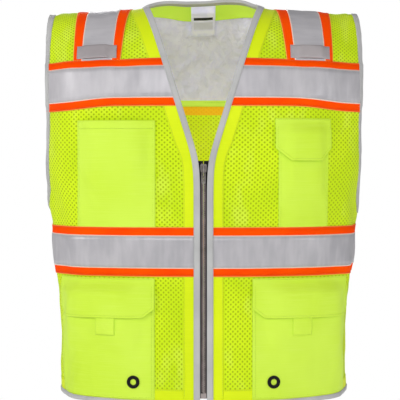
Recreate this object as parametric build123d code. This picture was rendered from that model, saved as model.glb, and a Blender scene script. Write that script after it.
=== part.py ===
from build123d import *
import os
from math import cos, exp, log, pi, sin

os.makedirs("parts", exist_ok=True)

# High visibility vest, as it sits on a torso. The front faces -Y, +X is the wearer's left,
# and z = 0 is the hem plane on the axis of the torso.

# Torso shape under the cloth
waist_half_width = 230.0
underarm_gain = 14.0
chest_gain = 18.0
body_half_depth = 130.0
squareness = 0.04
wall_height = 455.0
shoulder_rise = 155.0
neck_rise = 18.0
neck_rise_width = 62.0
shoulder_drop = 12.0
shoulder_half_width = 250.0

# Openings
zip_gap_half = 6.0
neck_point_height = 363.0
neck_slope = 0.313
back_neck_half_width = 85.0
back_neck_depth = 25.0
underarm_height = 290.0
armhole_side_height = 430.0
armhole_fraction = 0.44

# Cloth thickness and the layers outward from the panel
cloth = 0.8
facing_level = 1.1
backing_level = 1.9
tape_level = 2.7
backing_thickness = 0.6
tape_thickness = 0.5
lining_level = -1.1
binding_width = 9.0
binding_inner = -0.8
binding_outer = 3.6
seam = 0.2

# Reflective bands: 3 inch backing with 2 inch tape
backing_width = 76.2
tape_width = 50.8
chest_band_low = 450.0
back_band_low = 443.0
lining_low = 460.0
waist_band_low = 188.0

# Shoulder straps
strap_inner_low = 128.0
strap_inner_top = 113.0
strap_outer = 201.0

# Zipper
tooth_pitch = 2.8
tooth_reach = 2.9
tooth_overlap = 0.9
tooth_height = 1.15
tooth_front = 0.0
tooth_back = -3.4
tape_inner = 3.1
tape_outer = 14.5
tape_front = -1.4
tape_back = -2.0
zip_top = 361.0
zip_bottom = 8.6
slider_length = 12.0
slider_top = 360.8
slider_half_width = 4.8
pull_length = 20.0
pull_width = 6.4

# Grommets
grommet_x = 108.0
grommet_z = 25.0
grommet_hole_radius = 4.75
grommet_flange_radius = 10.0
grommet_barrel_radius = 5.6

# Chest pockets: x range, bottom, mouth and how far the cloth stands out
open_pocket = dict(x=(74.0, 194.0), low=257.0, mouth=428.0, depth=6.5, flat=0.08)
flap_pocket = dict(x=(115.0, 193.0), low=257.0, mouth=404.0, depth=7.0, flat=0.1)
cargo_pocket = dict(x=(75.0, 220.0), low=10.0, mouth=158.0, depth=9.0, flat=0.25)

# Flaps: how far past the pocket's sides, bottom, top and corner cut
chest_flap = dict(past=2.5, low=366.5, top=431.0, corner=19.0)
cargo_flap = dict(past=0.0, low=125.0, top=185.5, corner=14.0)
flap_gap = 2.6
pull_tab_width = 28.0
pull_tab_low = 99.5
pull_tab_high = 136.0

# Mic tabs and label
mic_tab_x = (134.0, 195.0)
mic_tab_width = 24.0
mic_tab_stand = 6.5
label_half_width = 20.0
label_length = 66.0

dome_length = shoulder_rise * pi / 2
ridge = wall_height + dome_length


def ease(t):
    """Smooth rise from 0 to 1."""
    t = min(1.0, max(0.0, t))
    return t * t * t * (t * (6 * t - 15) + 10)


def blend(a, b, t):
    return a + (b - a) * t


def half_width(z):
    waist_to_underarm = underarm_gain * ease((z - 60) / 230)
    chest = chest_gain * ease((z - 250) / 150)
    return waist_half_width + waist_to_underarm + chest


def bare_point(turn, v):
    """Point on the torso: turn is the angle round from the centre front, v the length up the cloth."""
    z_wall = min(v, wall_height)
    lean = max(0.0, v - wall_height) / dome_length * pi / 2
    width = half_width(z_wall) / (1 - squareness)
    depth = body_half_depth * cos(lean) / (1 - squareness)
    x = width * (sin(turn) + squareness * sin(3 * turn))
    y = -depth * (cos(turn) - squareness * cos(3 * turn))
    rise = shoulder_rise + neck_rise * exp(-((x / neck_rise_width) ** 2))
    rise -= shoulder_drop * (x / shoulder_half_width) ** 2
    return Vector(x, y, z_wall + rise * sin(lean))


def slopes(turn, v):
    """The two directions along the cloth at a point."""
    step = 0.0005
    across = (bare_point(turn + step, v) - bare_point(turn - step, v)) * (0.5 / step)
    low, high = v - 0.05, min(v + 0.05, ridge)
    up = (bare_point(turn, high) - bare_point(turn, low)) * (1 / (high - low))
    return across, up


def body_point(turn, v, level=0.0):
    """Point at a level outward from the panel's inner face."""
    across, up = slopes(turn, v)
    return bare_point(turn, v) + across.cross(up).normalized() * level


def normal_at(turn, v):
    across, up = slopes(turn, v)
    return across.cross(up).normalized()


def turn_at(x, v):
    """Turn angle on the front at which the torso reaches this x."""
    low, high = -pi / 2, pi / 2
    for _ in range(40):
        middle = (low + high) / 2
        if bare_point(middle, v).X < x:
            low = middle
        else:
            high = middle
    return (low + high) / 2


def turn_at_fraction(fraction):
    """Turn angle between front and side whose depth is this fraction of the half depth."""
    low, high = 0.0, pi / 2
    for _ in range(40):
        middle = (low + high) / 2
        share = (cos(middle) - squareness * cos(3 * middle)) / (1 - squareness)
        if share > fraction:
            low = middle
        else:
            high = middle
    return (low + high) / 2


def neck_edge(z):
    """Half gap between the two front edges: the zipper gap, opening into the V neck."""
    return zip_gap_half + neck_slope * 5 * log(1 + exp(min(60.0, (z - neck_point_height) / 5)))


def height_of(v, x):
    return bare_point(turn_at(x, v), v).Z


def walk(turn, v, direction, distance):
    """Walk along the cloth from a point, in small steps, and return the new turn and v."""
    steps = 4
    for _ in range(steps):
        across, up = slopes(turn, v)
        move = direction * (distance / steps)
        aa, ab, bb = across.dot(across), across.dot(up), up.dot(up)
        ma, mb = move.dot(across), move.dot(up)
        determinant = aa * bb - ab * ab
        turn += (ma * bb - mb * ab) / determinant
        v = min(ridge, v + (mb * aa - ma * ab) / determinant)
    return turn, v


def armhole_edge(t):
    """Turn and v on the left armhole's edge: t = 0 at the underarm, 0.5 at the shoulder, 1 at the underarm again."""
    front = min(t, 1 - t) * 2
    curved = 0.44
    if front < curved:
        angle = front / curved * pi / 2
        v = armhole_side_height - (armhole_side_height - underarm_height) * cos(angle)
        turn = turn_at_fraction(armhole_fraction * sin(angle))
    else:
        v = blend(armhole_side_height, ridge, (front - curved) / (1 - curved))
        turn = turn_at_fraction(armhole_fraction)
    return (turn, v) if t <= 0.5 else (pi - turn, v)


def armhole_inset(t, distance):
    """The point this far in from the armhole's edge, along the cloth."""
    turn, v = armhole_edge(t)
    before = bare_point(*armhole_edge(max(0.0, t - 0.002)))
    after = bare_point(*armhole_edge(min(1.0, t + 0.002)))
    inward = normal_at(turn, v).cross((after - before).normalized()) * -1
    return walk(turn, v, inward * -1, distance)


def slab(inside, outside, fit=0.03):
    """A closed solid between two matching grids of points."""
    low = Face.make_surface_from_array_of_points(inside, tol=fit, min_deg=3)
    high = Face.make_surface_from_array_of_points(outside, tol=fit, min_deg=3)
    faces = [low, high]
    for edge in low.edges():
        partner = min(high.edges(), key=lambda other: (other.center() - edge.center()).length)
        faces.append(Face.make_surface_from_curves(edge, partner))
    return Solid(Shell(faces))


def sheet(place, inner, thickness, columns=20, rows=14):
    """Cloth over a patch of the torso. place(s, t) gives turn and v, inner(s, t) the inner level."""
    inside, outside = [], []
    for j in range(rows + 1):
        spots = [(i / columns, j / rows) for i in range(columns + 1)]
        inside.append([body_point(*place(s, t), inner(s, t)) for s, t in spots])
        outside.append([body_point(*place(s, t), inner(s, t) + thickness) for s, t in spots])
    return slab(inside, outside)


def level(value):
    return lambda s, t: value


def patch(turn_low, turn_high, v_low, v_high):
    return lambda s, t: (blend(turn_low, turn_high, s), blend(v_low, v_high, t))


def side_turn(v):
    """Outer limit of a panel: the side seam, drawing in past the armhole's edge above it."""
    return pi / 2 - 0.002 - 0.35 * ease((v - 285) / 115)


def wide(v_low, v_high, start=0.0):
    """Patch from the centre front to the side seam, on the wearer's left."""

    def place(s, t):
        v = blend(v_low, v_high, t)
        return blend(start, side_turn(v), s), v

    return place


def back_wide(v_low, v_high):
    """Patch across the back, side seam to side seam."""

    def place(s, t):
        v = blend(v_low, v_high, t)
        return pi + (2 * s - 1) * side_turn(v), v

    return place


def back_spot(x, y):
    """Turn and v on the back of the shoulders at this x and y."""
    low, high = wall_height, ridge
    for _ in range(40):
        middle = (low + high) / 2
        if bare_point(pi - turn_at(x, middle), middle).Y > y:
            low = middle
        else:
            high = middle
    v = (low + high) / 2
    return pi - turn_at(x, v), v


def mirrored(shape):
    return shape.mirror(Plane.YZ)


def prism(plane, points, depth):
    """Solid standing on a closed outline of points in a plane."""
    return extrude(plane * make_face(Polyline(*points, close=True)), depth)


def front_plug():
    """Thick strip that covers the left front edge with its binding."""
    strip = front_strip(-20.0, binding_width + seam, -6.0, ridge - 0.02)
    return sheet(strip, level(-5), 12, 4, 60)


def armhole_plug(height):
    """Everything inside the inner line of the left armhole's binding, seen from the side, at one level."""
    count = 56
    outline = []
    for i in range(count):
        spot = body_point(*armhole_inset(i / count, binding_width + 2 * seam), height)
        outline.append((spot.Y, spot.Z))
    side = prism(Plane.YZ.offset(160), outline, 160)
    below = body_point(*armhole_inset(0.35, binding_width + 2 * seam))
    top = body_point(*armhole_inset(0.5, binding_width + 2 * seam))
    tip = [(below.X + 0.5, below.Z - 4), (top.X + 0.5, top.Z + 1), (top.X + 0.5, 660.0)]
    tip += [(300.0, 660.0), (300.0, below.Z - 4)]
    return side + prism(Plane.XZ.offset(-90), tip, 180)


def neck_plug():
    """Thick strip that covers the back neck's edge with its binding."""
    strip = neck_ring(-15.0, binding_width + seam, binding_width + seam, pi / 2)
    return sheet(strip, level(-5), 12, 4, 50)


def save(name, shape):
    """One piece, one file."""
    shape.label = name
    export_step(shape, f"parts/{name}.step")


def pair(name, left):
    """A left piece and its mirror image on the right."""
    save(name + "_left", left)
    save(name + "_right", mirrored(left))


def front_strip(gap_low, gap_high, v_low, v_high):
    """Strip that follows the left front edge and V neck."""

    def place(s, t):
        v = blend(v_low, v_high, t)
        edge = neck_edge(height_of(v, 40.0))
        return turn_at(edge + blend(gap_low, gap_high, s), v), v

    return place


def armhole_binding():
    place = lambda s, t: armhole_inset(blend(0.001, 0.999, t), binding_width * s)
    return sheet(place, level(binding_inner), binding_outer - binding_inner, 3, 60)


def neck_ring(near, far, reach, span):
    """Strip along the back neck's edge."""

    def place(s, t):
        angle = blend(-span, span, t)
        half = back_neck_half_width + blend(near, far, s)
        depth = back_neck_depth + blend(near, reach, s)
        return back_spot(half * sin(angle), max(0.0, depth * cos(angle)))

    return place


def bands(name, front_low, back_low, cutters_front, cutters_back):
    """Backing and tape on both fronts and the back."""
    layers = [
        ("backing", 0.0, backing_width, backing_level, backing_thickness),
        ("tape", (backing_width - tape_width) / 2, tape_width, tape_level, tape_thickness),
    ]
    for layer, margin, width, height, thick in layers:
        start = front_low + margin
        front = sheet(wide(start, start + width), level(height), thick, 16, 6)
        pair(f"{name}_{layer}", only(front, cutters_front))
        start = back_low + margin
        back = sheet(back_wide(start, start + width), level(height), thick, 28, 6)
        save(f"{name}_{layer}_back", only(back, cutters_back))


def only(shape, cutters):
    """The shape less its cutters, as one solid."""
    for cutter in cutters:
        shape = shape - cutter
    return max(shape.solids(), key=lambda solid: solid.volume)


def strap(inner_low, inner_top, outer, margin, height, thick):
    """Shoulder strap from the front chest band over the shoulder to the back one."""

    def place(s, t):
        lean = 2 * t - 1
        end = (chest_band_low if lean <= 0 else back_band_low) + backing_width + seam
        v = ridge - abs(lean) * (ridge - end)
        inner = blend(inner_top, inner_low, abs(lean)) + margin
        turn = turn_at(blend(inner, outer - margin, s), v)
        return (turn if lean <= 0 else pi - turn), v

    return sheet(place, level(height), thick, 6, 40)


def mic_tab():
    low = chest_band_low + backing_width + 2
    turns = [turn_at(x, low) for x in mic_tab_x]
    place = patch(turns[0], turns[1], low, low + mic_tab_width)
    base = tape_level + tape_thickness + seam
    height = lambda s, t: base + mic_tab_stand * ease(4 * s) * ease(4 - 4 * s)
    return sheet(place, height, cloth, 24, 4)


def bag_turns(bag, v):
    return [turn_at(x, v) for x in bag["x"]]


def bag_place(bag, low, high, past=0.0):
    """Patch over a pocket, with upright sides, going past them by an angle."""

    def place(s, t):
        v = blend(low, high, t)
        first, last = bag_turns(bag, v)
        return blend(first - past, last + past, s), v

    return place


def bag_level(bag, turn, v):
    """Level of the pocket cloth's inner face."""
    first, last = bag_turns(bag, v)
    s = (turn - first) / (last - first)
    t = (v - bag["low"]) / (bag["mouth"] - bag["low"])
    sides = ease(s / 0.3) * ease((1 - s) / 0.3)
    return facing_level + bag["depth"] * sides * ease((t - bag["flat"]) / (0.75 - bag["flat"]))


def pocket(bag):
    place = bag_place(bag, bag["low"], bag["mouth"])
    return sheet(place, lambda s, t: bag_level(bag, *place(s, t)), cloth - 0.1, 24, 20)


def flap_place(bag, flap):
    return bag_place(bag, flap["low"], flap["top"], flap["past"] / body_half_depth)


def flap_level(bag, flap, turn, v):
    """Level of the flap's inner face: sewn down at the top, clear of the pocket below its mouth."""
    over = bag_level(bag, turn, min(v, bag["mouth"])) - facing_level + flap_gap
    return facing_level + over * ease((flap["top"] - v) / (flap["top"] - bag["mouth"]))


def corner_cut(turn, v, size):
    """Square block that cuts a flap's corner off at 45 degrees."""
    across, up = slopes(turn, v)
    plane = Plane(origin=body_point(turn, v), x_dir=across, z_dir=normal_at(turn, v))
    return plane * Rot(0, 0, 45) * Box(size * 2 ** 0.5, size * 2 ** 0.5, 60)


def flap_solid(bag, flap):
    place = flap_place(bag, flap)
    body = sheet(place, lambda s, t: flap_level(bag, flap, *place(s, t)), cloth, 24, 20)
    cuts = [corner_cut(*place(s, 0), flap["corner"]) for s in (0, 1)]
    return only(body, cuts)


def over_bag(bag, x_range, v_low, v_high, lift, thick):
    """A piece that follows the pocket cloth at a lift above it."""
    place = bag_place(dict(x=x_range), v_low, v_high)
    return sheet(place, lambda s, t: bag_level(bag, *place(s, t)) + lift, thick, 10, 5)


def grommet_plane():
    turn = turn_at(grommet_x, grommet_z)
    return Plane(origin=body_point(turn, grommet_z), z_dir=normal_at(turn, grommet_z))


def ring(plane, outer, inner, low, high):
    """Round washer or tube between two levels."""
    tube = extrude(Circle(outer) - Circle(inner), high - low)
    return plane * Pos(0, 0, low) * tube


def grommet_hole():
    return ring(grommet_plane(), grommet_barrel_radius + 0.2, 0.0001, -6, 8)


def zip_box(x, levels, z):
    """Box beside the zipper, from x, level and z ranges."""
    size = (x[1] - x[0], levels[1] - levels[0], z[1] - z[0])
    centre = (sum(x) / 2, -body_half_depth - sum(levels) / 2, sum(z) / 2)
    return Pos(*centre) * Box(*size)


def zip_prism(points, low, high):
    """Outline in x and z, raised from one level to another."""
    return prism(Plane.XZ.offset(body_half_depth + low), points, high - low)


def teeth():
    """Left row of teeth on its spine."""
    count = int((zip_top - zip_bottom) / tooth_pitch)
    spine = tooth_reach - 1.0
    outline = [(tooth_reach, zip_top), (tooth_reach, zip_bottom), (spine, zip_bottom)]
    for i in range(count):
        low = zip_bottom + i * tooth_pitch + 0.1
        high = low + tooth_height
        outline += [(spine, low), (-tooth_overlap, low + 0.2), (-tooth_overlap, high - 0.2), (spine, high)]
    outline.append((spine, zip_top))
    return zip_prism(outline, tooth_back, tooth_front)


def zip_tape():
    tape = zip_box((tape_inner, tape_outer), (tape_back, tape_front), (0.3, 366.0))
    return tape - zip_box((0, 4.6), (-6, 2), (-1, zip_bottom - 0.1))


def slider_outline(half):
    low = slider_top - slider_length
    return [(-half + 0.6, low), (half - 0.6, low), (half, low + 5), (half, slider_top - 1)] + [
        (half - 1.2, slider_top), (1.2 - half, slider_top), (-half, slider_top - 1), (-half, low + 5)]


def slider_shell(plate, flange):
    """One face of the slider with the two flanges that fold round the teeth."""
    low, high = min(plate + flange), max(plate + flange)
    body = zip_prism(slider_outline(slider_half_width), low, high)
    channel = zip_box((-3.4, 3.4), flange, (0, 400))
    return body - channel


def bail():
    """Arch on the slider's front that holds the pull."""
    top = slider_top - 2.3
    low = top - 10.0
    arch = zip_box((-0.8, 0.8), (1.3, 4.7), (low, top))
    return arch - zip_box((-1, 1), (1.4, 3.7), (low + 1.5, top - 1.5))


def pull():
    """Pull with a pin through the bail, two arms and a pierced tab."""
    pin_z = slider_top - 9.85
    pin_level = 2.75
    pin = Pos(0, -body_half_depth - pin_level, pin_z) * Rot(0, 90, 0) * Cylinder(0.6, 4.6)
    half = pull_width / 2
    low = pin_z - pull_length
    outline = [(-half, low + 1.2), (1.2 - half, low), (half - 1.2, low), (half, low + 1.2)]
    outline += [(half, pin_z - 5), (2.3, pin_z + 0.6), (-2.3, pin_z + 0.6), (-half, pin_z - 5)]
    tab = zip_prism(outline, pin_level - 0.6, pin_level + 0.6)
    slot = zip_box((-1.2, 1.2), (1, 5), (pin_z - 8.4, pin_z + 3))
    holes = [zip_box((-1.5, 1.5), (1, 5), (low + z, low + z + 2.2)) for z in (2.6, 7.2)]
    return tab - slot - holes[0] - holes[1] + pin


def make_panels(front_cut, arm_cut, neck_cut, hole):
    arm_cuts = [arm_cut, mirrored(arm_cut)]
    below_hem = Pos(0, 0, -40.8) * Box(700, 500, 100)
    front = sheet(wide(-40.0, ridge - 0.1), level(0), cloth, 16, 38)
    pair("front_panel", only(front, [below_hem, front_cut, arm_cut, hole]))
    back = sheet(back_wide(-40.0, ridge - 0.1), level(0), cloth, 30, 38)
    save("back_panel", only(back, arm_cuts + [below_hem, neck_cut]))
    lining = sheet(back_wide(lining_low, ridge - 0.1), level(lining_level), cloth - 0.1, 26, 14)
    save("back_lining", only(lining, arm_cuts + [neck_cut]))


def make_edges():
    strip = front_strip(0, binding_width, 0.0, ridge - 0.1)
    pair("front_binding", sheet(strip, level(binding_inner), binding_outer - binding_inner, 3, 60))
    facing = front_strip(binding_width + seam, binding_width + 16.0, 9.2, ridge - 0.1)
    pair("front_facing", sheet(facing, level(facing_level), cloth - 0.1, 3, 60))
    pair("armhole_binding", armhole_binding())
    neck = neck_ring(0.0, 9.0, 9.0, pi / 2)
    save("back_neck_binding", sheet(neck, level(binding_inner), binding_outer - binding_inner, 3, 40))
    facing = neck_ring(9.4, 32.0, 46.0, 1.45)
    save("back_neck_facing", sheet(facing, level(-2.0), cloth - 0.1, 6, 30))
    start = turn_at(15.2, 5)
    hem = patch(start, 2 * pi - start, 0.0, 9.0)
    save("hem_binding", sheet(hem, level(binding_inner), binding_outer - binding_inner, 60, 3))
    start = turn_at(17, 15)
    hem = patch(start, 2 * pi - start, 9.4, 24.0)
    facing = sheet(hem, level(lining_level), cloth, 60, 3)
    hole = grommet_hole()
    save("hem_facing", only(facing, [hole, mirrored(hole)]))


def make_label():
    top = back_spot(0.0, 38.0)[1]
    half = turn_at(label_half_width, top - 30)
    place = patch(pi - half, pi + half, top - label_length, top)
    save("neck_label", sheet(place, level(-2.9), 0.6, 6, 8))


def make_straps():
    inner, top, outer = strap_inner_low, strap_inner_top, strap_outer
    edge = (backing_width - tape_width) / 2
    pair("shoulder_backing", strap(inner, top, outer, 0, backing_level, backing_thickness))
    pair("shoulder_tape", strap(inner, top, outer, edge, tape_level, tape_thickness))
    pair("mic_tab", mic_tab())


def make_pockets(hole):
    save("chest_pocket_right", mirrored(pocket(open_pocket)))
    save("chest_pocket_left", pocket(flap_pocket))
    pair("cargo_pocket", only(pocket(cargo_pocket), [hole]))
    save("chest_flap", flap_solid(flap_pocket, chest_flap))
    pair("cargo_flap", flap_solid(cargo_pocket, cargo_flap))
    middle = sum(cargo_pocket["x"]) / 2
    tab_x = (middle + 5 - pull_tab_width / 2, middle + 5 + pull_tab_width / 2)
    pair("flap_pull_tab", over_bag(cargo_pocket, tab_x, pull_tab_low, pull_tab_high, 1.1, 1.2))
    chest_x, cargo_x = (134.0, 174.0), (112.0, 182.0)
    save("chest_loop_patch", over_bag(flap_pocket, chest_x, 374, 392, 0.9, 0.5))
    save("chest_hook_patch", over_bag(flap_pocket, chest_x, 374, 392, 1.75, 0.6))
    pair("cargo_loop_patch", over_bag(cargo_pocket, cargo_x, 139, 155, 0.9, 0.5))
    pair("cargo_hook_patch", over_bag(cargo_pocket, cargo_x, 139, 155, 1.75, 0.6))


def make_grommets():
    plane = grommet_plane()
    flange = ring(plane, grommet_flange_radius, grommet_hole_radius, 2.0, 3.2)
    barrel = ring(plane, grommet_barrel_radius, grommet_hole_radius, -2.6, 2.1)
    pair("grommet", flange + barrel)
    pair("grommet_washer", ring(plane, 9.5, grommet_barrel_radius + 0.2, -2.4, -1.6))


def make_zipper():
    pair("zipper_tape", zip_tape())
    left = teeth()
    save("zipper_teeth_left", left)
    save("zipper_teeth_right", Pos(0, 0, tooth_pitch / 2) * mirrored(left))
    save("zipper_box", zip_box((-4.2, 4.2), (-3.8, 0.6), (0.4, zip_bottom - 0.2)))
    save("zipper_slider", slider_shell((0.4, 1.4), (-0.95, 0.4)) + bail())
    save("zipper_slider_back", slider_shell((-4.8, -3.8), (-3.8, -2.4)))
    save("zipper_pull", pull())


def make_all():
    front_cut = front_plug()
    arm_cut = armhole_plug(cloth / 2)
    band_arm_cut = armhole_plug(tape_level)
    neck_cut = neck_plug()
    hole = grommet_hole()
    make_panels(front_cut, arm_cut, neck_cut, hole)
    make_edges()
    make_label()
    both_arms = [band_arm_cut, mirrored(band_arm_cut)]
    bands("chest", chest_band_low, back_band_low, [front_cut, band_arm_cut], both_arms)
    bands("waist", waist_band_low, waist_band_low, [front_cut], [])
    make_straps()
    make_pockets(hole)
    make_grommets()
    make_zipper()


make_all()
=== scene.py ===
import math

import bpy
import numpy as np
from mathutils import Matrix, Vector


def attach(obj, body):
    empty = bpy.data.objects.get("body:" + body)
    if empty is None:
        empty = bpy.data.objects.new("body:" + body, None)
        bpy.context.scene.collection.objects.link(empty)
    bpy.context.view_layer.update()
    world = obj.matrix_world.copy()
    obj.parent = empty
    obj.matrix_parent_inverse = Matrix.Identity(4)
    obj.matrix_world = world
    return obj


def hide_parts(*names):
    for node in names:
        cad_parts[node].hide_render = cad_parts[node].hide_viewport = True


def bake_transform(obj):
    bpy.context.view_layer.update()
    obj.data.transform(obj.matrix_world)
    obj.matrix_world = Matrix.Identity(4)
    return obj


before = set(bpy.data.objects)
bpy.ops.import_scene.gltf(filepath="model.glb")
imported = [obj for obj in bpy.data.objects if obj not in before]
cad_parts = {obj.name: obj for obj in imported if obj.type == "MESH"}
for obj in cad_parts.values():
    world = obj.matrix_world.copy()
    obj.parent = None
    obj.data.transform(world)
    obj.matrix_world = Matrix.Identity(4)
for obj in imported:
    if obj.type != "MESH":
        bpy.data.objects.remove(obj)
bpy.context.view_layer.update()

PI = math.pi
HANDS = ((1, "left"), (-1, "right"))

# ---------------- driving sizes, in millimetres
# The cloth goes straight up to WALL, then over the shoulders to RIDGE. v is the length up the cloth.
WALL, RISE, SHOULDER_DROP = 455.0, 155.0, 12.0
NECK_RISE, NECK_RISE_WIDTH = 18.0, 86.0
DOME = RISE * PI / 2
RIDGE = WALL + DOME
TOP = RIDGE - 0.1
DEPTH, SQUARE = 130.0, 0.04
HEM, HEM_DIP, HEM_DIP_TOP = -3.0, 8.0, 170.0

# Armhole: its foot, where its side turns straight, its depth and the share of its length that curves.
UNDERARM, ARM_SIDE, ARM_SHARE, ARM_CURVE = 290.0, 430.0, 0.44, 0.44
# Front edges: distance from the centre, where the V starts, how fast it opens and how soft its corner is.
FRONT_EDGE, V_FOOT, V_SLOPE, V_SOFT = 6.0, 363.0, 0.313, 12.0
NECK_HALF, NECK_DEPTH = 85.0, 25.0
BINDING = 9.0

BACKING_WIDTH, TAPE_WIDTH = 76.2, 50.8
CHEST_LOW, BACK_LOW, WAIST_LOW = 450.0, 443.0, 188.0
LINING_LOW, LINING_SEAM = 466.0, 0.03
# Above this v the back's rows close up to follow the neck.
FITTED_FROM = 600.0
STRAP_TOP_X, STRAP_END_X, STRAP_OUTER_X = 113.0, 128.0, 201.0

# Heights of the layers above the torso surface.
FACING, BACKING, TAPE = 1.1, 1.9, 2.7

OPEN_POCKET = dict(x=(74.0, 194.0), low=257.0, mouth=428.0, depth=6.5, flat=0.08)
FLAP_POCKET = dict(x=(115.0, 193.0), low=257.0, mouth=404.0, depth=7.0, flat=0.1)
CARGO_POCKET = dict(x=(75.0, 220.0), low=10.0, mouth=158.0, depth=9.0, flat=0.25)
CHEST_FLAP = dict(past=2.5, low=366.5, top=431.0, corner=19.0)
CARGO_FLAP = dict(past=0.0, low=125.0, top=185.5, corner=14.0)
FLAP_GAP, SEAM_INSET, TAB_WIDTH = 2.6, 3.2, 24.0
WORLD_LIGHT = 0.3


def ease(t):
    """Smooth step from 0 to 1, level at both ends."""
    t = np.clip(t, 0.0, 1.0)
    return t ** 3 * (t * (6 * t - 15) + 10)


def mix(a, b, t):
    return a + (b - a) * t


def half_width(z):
    """Half the torso's width, fuller at the chest than at the hem."""
    return 230 + 14 * ease((z - 60) / 230) + 18 * ease((z - 250) / 150)


def bare(turn, v):
    """Point on the torso: turn is the angle round from the centre front, v the length up the cloth."""
    turn, v = np.broadcast_arrays(np.asarray(turn, float), np.asarray(v, float))
    lean = np.maximum(0, v - WALL) / DOME * PI / 2
    z_wall = np.minimum(v, WALL)
    width = half_width(z_wall) / (1 - SQUARE)
    depth = DEPTH * np.cos(lean) / (1 - SQUARE)
    x = width * (np.sin(turn) + SQUARE * np.sin(3 * turn))
    y = -depth * (np.cos(turn) - SQUARE * np.cos(3 * turn))
    neck = NECK_RISE * np.exp(-((x / NECK_RISE_WIDTH) ** 6)) * np.sin(lean) ** 4
    return np.stack([x, y, z_wall + (RISE - SHOULDER_DROP * (x / 250) ** 2) * np.sin(lean) + neck], -1)


def slopes(turn, v):
    """How the torso point moves per turn and per v."""
    turn, v = np.broadcast_arrays(np.asarray(turn, float), np.asarray(v, float))
    across = (bare(turn + 5e-4, v) - bare(turn - 5e-4, v)) / 1e-3
    low, high = v - 0.05, np.minimum(v + 0.05, RIDGE)
    up = (bare(turn, high) - bare(turn, low)) / (high - low)[..., None]
    return across, up


def unit(a):
    return a / np.maximum(1e-12, np.linalg.norm(a, axis=-1, keepdims=True))


def normal(turn, v):
    across, up = slopes(turn, v)
    return unit(np.cross(across, up))


def distances(line):
    """Length along a line at each of its points."""
    return np.concatenate([[0], np.cumsum(np.linalg.norm(np.diff(line, axis=0), axis=1))])


ARC_TURNS = np.linspace(-2 * PI, 2 * PI, 6001)
ARC_LENGTHS = distances(bare(ARC_TURNS, 200.0))
ARC_LENGTHS -= ARC_LENGTHS[3000]


def arc(turn):
    """Length round the waist from the centre front."""
    return np.interp(turn, ARC_TURNS, ARC_LENGTHS)


def bisect(value, low, high, rises):
    """Where a function passes zero, for whole arrays at once."""
    low, high = np.array(low, float), np.array(high, float)
    for _ in range(44):
        middle = (low + high) / 2
        under = value(middle) < 0 if rises else value(middle) > 0
        low, high = np.where(under, middle, low), np.where(under, high, middle)
    return (low + high) / 2


def turn_at(x, v):
    """Turn on the front where the torso has this x."""
    x, v = np.broadcast_arrays(np.asarray(x, float), np.asarray(v, float))
    ends = np.zeros(x.shape)
    return bisect(lambda t: bare(t, v)[..., 0] - x, ends - PI / 2, ends + PI / 2, True)


def turn_at_share(share):
    """Turn on the front where the torso has this share of its depth."""
    share = np.asarray(share, float)
    depth = lambda t: (np.cos(t) - SQUARE * np.cos(3 * t)) / (1 - SQUARE) - share
    return bisect(depth, np.zeros(share.shape), np.full(share.shape, PI / 2), False)


def neck_edge(z):
    """x of the front edge, opening softly into the V neck."""
    return FRONT_EDGE + V_SLOPE * V_SOFT * np.log1p(np.exp(np.minimum(60.0, (z - V_FOOT) / V_SOFT)))


def front_turn(v, offset):
    """Turn at a distance in from the front edge or the V neck."""
    v = np.asarray(v, float)
    z = bare(turn_at(40.0, v), v)[..., 2]
    return turn_at(neck_edge(z) + offset, v)


def side_limit(v):
    """Turn of the side seam, or of the armhole's edge above the underarm."""
    v = np.asarray(v, float)
    angle = np.arccos(np.clip((ARM_SIDE - v) / (ARM_SIDE - UNDERARM), 0, 1))
    return np.where(v < UNDERARM, PI / 2, turn_at_share(ARM_SHARE * np.sin(angle)))


def back_spot(x, y):
    """Turn and v on the back of the shoulders at this x and y."""
    x, y = np.broadcast_arrays(np.asarray(x, float), np.asarray(y, float))
    low = np.full(x.shape, WALL)
    v = bisect(lambda q: bare(PI - turn_at(x, q), q)[..., 1] - y, low, low + DOME, False)
    return PI - turn_at(x, v), v


def walk(turn, v, direction, distance):
    """Moves over the torso by a distance, in four steps."""
    for _ in range(4):
        across, up = slopes(turn, v)
        move = direction * (distance / 4)[..., None]
        aa, ab, bb = (across * across).sum(-1), (across * up).sum(-1), (up * up).sum(-1)
        ma, mb = (move * across).sum(-1), (move * up).sum(-1)
        determinant = aa * bb - ab * ab
        turn = turn + (ma * bb - mb * ab) / determinant
        v = np.minimum(RIDGE, v + (mb * aa - ma * ab) / determinant)
    return turn, v


def arm_edge(t):
    """Armhole edge, from the underarm up the front (0 to 0.5) and down the back (0.5 to 1)."""
    front = np.minimum(t, 1 - t) * 2
    angle = np.clip(front / ARM_CURVE, 0, 1) * PI / 2
    v = ARM_SIDE - (ARM_SIDE - UNDERARM) * np.cos(angle)
    v = np.where(front < ARM_CURVE, v, mix(ARM_SIDE, RIDGE, (front - ARM_CURVE) / (1 - ARM_CURVE)))
    turn = turn_at_share(ARM_SHARE * np.sin(angle))
    return np.where(t <= 0.5, turn, PI - turn), v


def arm_inset(t, distance):
    """Point moved in from the armhole edge."""
    t, distance = np.broadcast_arrays(np.asarray(t, float), np.asarray(distance, float))
    turn, v = arm_edge(t)
    before = bare(*arm_edge(np.maximum(0, t - 0.002)))
    after = bare(*arm_edge(np.minimum(1, t + 0.002)))
    inward = np.cross(normal(turn, v), unit(after - before))
    return walk(turn, v, inward, distance)


GROMMET_V = 25.0
GROMMET_ARC = float(arc(turn_at(108.0, GROMMET_V)))


def around(value, middle, reach, power=2):
    """Bell of height 1 about the middle."""
    return np.exp(-(((value - middle) / reach) ** power))


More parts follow.
